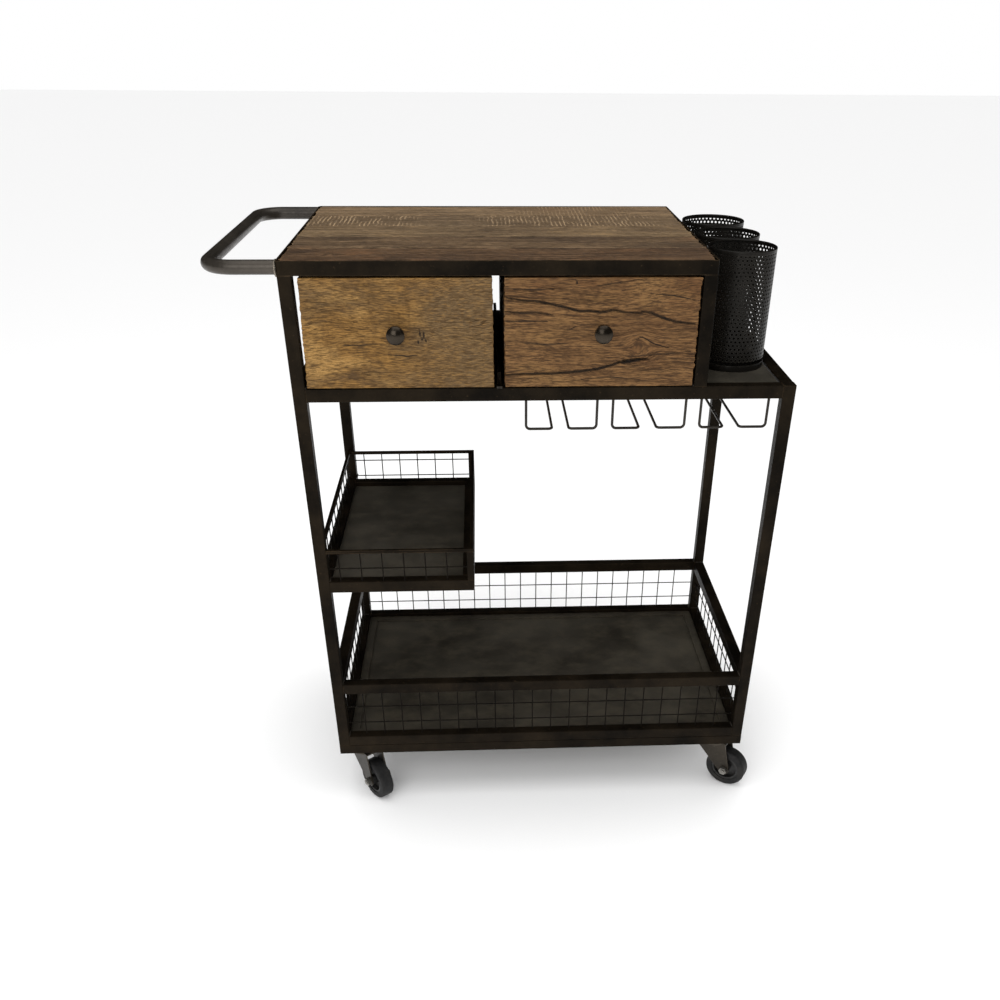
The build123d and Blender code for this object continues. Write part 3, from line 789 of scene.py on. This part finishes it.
# ---- Drawer fronts
# Two boards cut from different old timbers: the left one honey and grey with short grain, the
# right one warm brown, split by long wavy cracks that flow round a knot.
front_grid = (0.0014, 0.006, 0.0014)
left_low, left_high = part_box("left_drawer_front")
left_front = block(left_low, left_high)
places = spots(left_front)
at_left = places[:, 0] < left_low[0] + 0.001
at_top = places[:, 2] > left_high[2] - 0.001
pick(left_front, "VERT", at_left & at_top)
bpy.ops.transform.translate(value=(0.005, 0.0, 0.0))
bpy.ops.object.mode_set(mode="OBJECT")
cut_grid(left_front, front_grid)
ease_edges(left_front, 0.0008)
roughen(left_front, "left_front_waves", 0.040, 0.0007, 3.0)
roughen(left_front, "left_front_fibres", 0.005, 0.0004, 9.0)
open_cracks(
    left_front, 1, left_low, left_high,
    ((0.0010, 0.0010, ((0.612, 0.58), (0.618, 0.50), (0.630, 0.44))),
     (0.0010, 0.0010, ((0.632, 0.55), (0.640, 0.47), (0.652, 0.42))),
     (0.0007, 0.0008, ((0.602, 0.46), (0.612, 0.40))),
     (0.0005, 0.0006, ((0.20, 0.41), (0.30, 0.405), (0.40, 0.42))),
     (0.0005, 0.0006, ((0.45, 0.315), (0.55, 0.30), (0.60, 0.31)))),
)
hold(left_front)
bpy.ops.object.shade_smooth_by_angle(angle=math.radians(42))
left_wood = old_wood(
    "left_front_wood",
    ((0.114, 0.056, 0.014), (0.222, 0.113, 0.028), (0.336, 0.176, 0.044)),
    (
        ((0.135, 0.082, 0.034), 0.14, 7.0),
        ((0.420, 0.240, 0.075), 0.10, 11.0),
        ((0.075, 0.043, 0.019), 0.07, 17.0),
    ),
    (4.0, 2.0, 9.0),
    fibre=(22.0, 260.0, 260.0),
    fade=(left_low[0] + 0.13, left_low[0] + 0.20, (0.125, 0.082, 0.040)),
    stains=0.55,
)
settle(left_front, "left_front_board", left_wood, "left_drawer")
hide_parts("left_drawer_front")

right_low, right_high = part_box("right_drawer_front")
right_front = block(right_low, right_high)
cut_grid(right_front, front_grid)
ease_edges(right_front, 0.0008)
roughen(right_front, "right_front_waves", 0.040, 0.0008, 4.0)
roughen(right_front, "right_front_fibres", 0.005, 0.0006, 10.0)
open_cracks(
    right_front, 1, right_low, right_high,
    ((0.0016, 0.0022, (
        (0.0, 0.835), (0.09, 0.80), (0.158, 0.795), (0.233, 0.77), (0.309, 0.74), (0.384, 0.702),
        (0.438, 0.706), (0.491, 0.692), (0.556, 0.712), (0.62, 0.692), (0.706, 0.683))),
     (0.0017, 0.0022, ((0.70, 0.70), (0.749, 0.687), (0.814, 0.64), (0.878, 0.606), (0.98, 0.583))),
     (0.0013, 0.0018, ((0.0, 0.705), (0.08, 0.69), (0.16, 0.695), (0.244, 0.673))),
     (0.0018, 0.0026, (
         (0.0, 0.115), (0.115, 0.125), (0.223, 0.125), (0.33, 0.135), (0.416, 0.15), (0.49, 0.167),
         (0.556, 0.20), (0.62, 0.24), (0.685, 0.256), (0.75, 0.256))),
     (0.0022, 0.0022, ((0.60, 0.225), (0.65, 0.235), (0.74, 0.262))),
     (0.0007, 0.0010, ((0.0, 0.61), (0.10, 0.62), (0.22, 0.615))),
     (0.0009, 0.0012, ((0.46, 0.925), (0.55, 0.95), (0.60, 0.96), (0.72, 0.99))),
     (0.0008, 0.0010, ((0.355, 0.99), (0.37, 0.955), (0.36, 0.94))),
     (0.0008, 0.0012, ((0.62, 0.28), (0.78, 0.30), (0.97, 0.327))),
     (0.0010, 0.0012, ((0.32, 0.53), (0.345, 0.545), (0.37, 0.565))),
     (0.0006, 0.0010, ((0.05, 0.90), (0.15, 0.895), (0.25, 0.90))),
     (0.0006, 0.0010, ((0.10, 0.42), (0.22, 0.40), (0.33, 0.41))),
     (0.0006, 0.0010, ((0.66, 0.43), (0.71, 0.47), (0.78, 0.40), (0.86, 0.36))),
     (0.0006, 0.0010, ((0.74, 0.86), (0.86, 0.84), (0.97, 0.80))),
     (0.0006, 0.0010, ((0.40, 0.07), (0.55, 0.09), (0.72, 0.06)))),
)
hold(right_front)
bpy.ops.object.shade_smooth_by_angle(angle=math.radians(42))
right_size = right_high[0] - right_low[0], right_high[2] - right_low[2]
swirl = (right_low[0] + 0.70 * right_size[0], right_low[1], right_low[2] + 0.36 * right_size[1])
right_wood = old_wood(
    "right_front_wood",
    ((0.074, 0.035, 0.012), (0.155, 0.077, 0.027), (0.250, 0.131, 0.047)),
    (((0.120, 0.054, 0.018), 0.08, 7.0), ((0.210, 0.111, 0.038), 0.08, 9.0)),
    (1.0, 7.0, 3.0),
    knots=((swirl, 0.020),),
    fibre=(7.0, 210.0, 210.0),
)
settle(right_front, "right_front_board", right_wood, "right_drawer")
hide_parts("right_drawer_front")

# ---- Drawer boxes
# Plain planed boards nailed together behind the fronts: two sides, a back and a bottom. They are
# oiled but not stained.
box_wood = old_wood(
    "drawer_box_wood",
    ((0.17, 0.11, 0.062), (0.27, 0.185, 0.11), (0.36, 0.26, 0.165)),
    (((0.22, 0.15, 0.09), 0.06, 5.0),),
    (6.0, 1.0, 2.0),
)
coat(box_wood, "left_drawer_bottom", "right_drawer_bottom")
side_wood = old_wood(
    "drawer_side_wood",
    ((0.14, 0.085, 0.045), (0.22, 0.145, 0.082), (0.30, 0.21, 0.125)),
    (((0.18, 0.12, 0.07), 0.06, 5.0),),
    (2.0, 4.0, 8.0),
    fibre=(5.0, 5.0, 170.0),
)
coat(side_wood, "left_drawer_sides", "right_drawer_sides")

# ---- Drawer knobs
# Round knobs cast in a dark pewter, the dome rubbed bright, their lighter corners partly wear and
# partly a painted highlight. A screw through the front holds each one.
knob_metal = patina_steel(
    "knob_metal",
    dark=(0.022, 0.017, 0.012), brown=(0.055, 0.043, 0.031), worn_and_highlight=(0.22, 0.19, 0.155),
    roughness=0.24, metallic=0.85, specular=0.5, edge_wear_and_highlight=0.5,
)
coat(knob_metal, "left_drawer_knob", "right_drawer_knob", "left_knob_screw", "right_knob_screw")

# ---- Perforated cups
# Thin steel sheet punched with staggered round holes and rolled into a tube, with a folded rim and
# a plain foot round a closed bottom. The three cups are alike.
hole_radius = 0.00172
holes_round = 50
rows = 28
sheet_thickness = 0.0010
rim_radius = 0.0018
band_height = 0.0045
foot_height = 0.0090
ring_thickness = 0.0014
round_sides = 96
cup_nodes = ("front_cup", "middle_cup", "rear_cup")
cup_low, cup_high = (Vector(corner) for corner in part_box("front_cup"))
cup_radius = (cup_high.x - cup_low.x) / 2
wall_radius = cup_radius - sheet_thickness
pitch = 2 * math.pi * wall_radius / holes_round
row_rise = pitch * math.cos(math.radians(30))
deselect()
bpy.ops.mesh.primitive_circle_add(vertices=12, radius=hole_radius, location=(0.0, 0.0, 0.0))
sheet = bpy.context.object
bpy.ops.object.mode_set(mode="EDIT")
bpy.ops.mesh.extrude_edges_move()
spread = pitch / 2 / hole_radius
bpy.ops.transform.resize(value=(spread, spread, 1.0), center_override=(0.0, 0.0, 0.0))
bpy.ops.object.mode_set(mode="OBJECT")
places = spots(sheet)
angles = np.degrees(np.arctan2(places[:, 1], places[:, 0])) % 60
at_corner = (np.abs(angles - 30) < 2) & (np.linalg.norm(places, axis=1) > pitch * 0.45)
pick(sheet, "VERT", at_corner)
reach = 1 / math.cos(math.radians(30))
bpy.ops.transform.resize(value=(reach, reach, 1.0), center_override=(0.0, 0.0, 0.0))
bpy.ops.object.mode_set(mode="OBJECT")
for count, offset in ((holes_round, (pitch, 0.0, 0.0)), (rows, (pitch / 2, row_rise, 0.0))):
    array = sheet.modifiers.new("repeat", "ARRAY")
    array.count = count
    array.use_relative_offset = False
    array.use_constant_offset = True
    array.constant_offset_displace = offset
    array.use_merge_vertices = True
    array.merge_threshold = 0.00005
    bpy.ops.object.modifier_apply(modifier="repeat")
places = spots(sheet)
bottom_rise = cup_high.z - 0.0066 - (rows - 1) * row_rise
turn = places[:, 0] / wall_radius
rolled = np.stack(
    [wall_radius * np.cos(turn), wall_radius * np.sin(turn), places[:, 1] + bottom_rise], axis=1
)
sheet.data.vertices.foreach_set("co", rolled.ravel())
hold(sheet)
bpy.ops.object.mode_set(mode="EDIT")
bpy.ops.mesh.select_all(action="SELECT")
bpy.ops.mesh.remove_doubles(threshold=0.00005)
bpy.ops.mesh.normals_make_consistent(inside=False)
bpy.ops.object.mode_set(mode="OBJECT")
wall = sheet.modifiers.new("wall", "SOLIDIFY")
wall.thickness = sheet_thickness
wall.offset = 0.0
bpy.ops.object.modifier_apply(modifier="wall")
deselect()
bpy.ops.mesh.primitive_torus_add(
    major_segments=round_sides, minor_segments=14,
    major_radius=cup_radius - 0.0019, minor_radius=rim_radius,
    location=(0.0, 0.0, cup_high.z - rim_radius),
)
rim = bpy.context.object
bpy.ops.mesh.primitive_cylinder_add(
    vertices=round_sides, radius=cup_radius - 0.0003, depth=band_height,
    end_fill_type="NOTHING", location=(0.0, 0.0, cup_high.z - 0.0038),
)
band = bpy.context.object
bpy.ops.mesh.primitive_cylinder_add(
    vertices=round_sides, radius=cup_radius - 0.0003, depth=foot_height,
    end_fill_type="NOTHING", location=(0.0, 0.0, cup_low.z + foot_height / 2),
)
foot = bpy.context.object
for part in (band, foot):
    hold(part)
    wall = part.modifiers.new("wall", "SOLIDIFY")
    wall.thickness = ring_thickness
    wall.offset = -1.0
    bpy.ops.object.modifier_apply(modifier="wall")
    ease_edges(part, 0.0003)
deselect()
bpy.ops.mesh.primitive_cylinder_add(
    vertices=round_sides, radius=cup_radius - 0.0012, depth=0.0014,
    location=(0.0, 0.0, cup_low.z + 0.0016),
)
disc = bpy.context.object
facing_up = [face.normal.z > 0.9 for face in disc.data.polygons]
pick(disc, "FACE", facing_up)
bpy.ops.mesh.inset(thickness=0.006)
bpy.ops.transform.translate(value=(0.0, 0.0, 0.0008))
bpy.ops.object.mode_set(mode="OBJECT")
first_cup = join([sheet, rim, band, foot, disc])
bpy.ops.object.shade_smooth_by_angle(angle=math.radians(35))
cup_steel = patina_steel(
    "cup_steel",
    dark=(0.0065, 0.0058, 0.0048), brown=(0.012, 0.0105, 0.0085), worn_and_highlight=(0.09, 0.08, 0.065),
    roughness=0.34, metallic=0.4, specular=0.2, edge_wear_and_highlight=0.6,
)
for index, name in enumerate(cup_nodes):
    low, high = (Vector(corner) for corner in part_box(name))
    cup = first_cup if index == len(cup_nodes) - 1 else copy_of(first_cup)
    cup.location = ((low.x + high.x) / 2, (low.y + high.y) / 2, 0.0)
    settle(cup, name + "_perforated", cup_steel, name)
    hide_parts(name)

# ---- Casters
# Pressed steel forks that swivel under plates on the frame, with zinc axle bolts, black moulded
# hubs and rubber tyres.
fork_steel = patina_steel(
    "fork_steel",
    dark=(0.022, 0.018, 0.013), brown=(0.050, 0.040, 0.028), worn_and_highlight=(0.20, 0.17, 0.13),
    roughness=0.36, metallic=0.6, specular=0.5,
)
zinc = patina_steel(
    "zinc",
    dark=(0.22, 0.21, 0.19), brown=(0.36, 0.35, 0.32), worn_and_highlight=(0.6, 0.58, 0.54),
    roughness=0.32, metallic=0.9, specular=0.5,
)
hub_black, tree, shader = new_material("hub_black", roughness=0.42, specular=0.4)
point = object_point(tree)
dust = noise(tree, point, 90.0, 5.0, 0.7)
tint = blend(tree, ramp(tree, dust, 0.4, 0.7), (0.010, 0.010, 0.010), (0.030, 0.028, 0.025))
tree.links.new(tint, shader.inputs["Base Color"])
bump(tree, shader, dust, 0.2, 0.0004)
tyre_rubber, tree, shader = new_material("tyre_rubber", roughness=0.66, specular=0.3)
point = object_point(tree)
scuffs = noise(tree, point, 120.0, 6.0, 0.75)
dirt = noise(tree, point, 25.0, 4.0, 0.6)
tint = blend(tree, ramp(tree, scuffs, 0.4, 0.75), (0.007, 0.007, 0.007), (0.020, 0.019, 0.018))
tint = blend(tree, ramp(tree, dirt, 0.55, 0.8, 0.0, 0.6), tint, (0.045, 0.040, 0.034))
tree.links.new(tint, shader.inputs["Base Color"])
bump(tree, shader, scuffs, 0.3, 0.0005)
coat(fork_steel, "caster_plates")
for corner in ("front_left", "front_right", "rear_left", "rear_right"):
    coat(fork_steel, corner + "_caster_fork")
    coat(zinc, corner + "_axle")
    coat(hub_black, corner + "_wheel_hub")
    coat(tyre_rubber, corner + "_tyre")
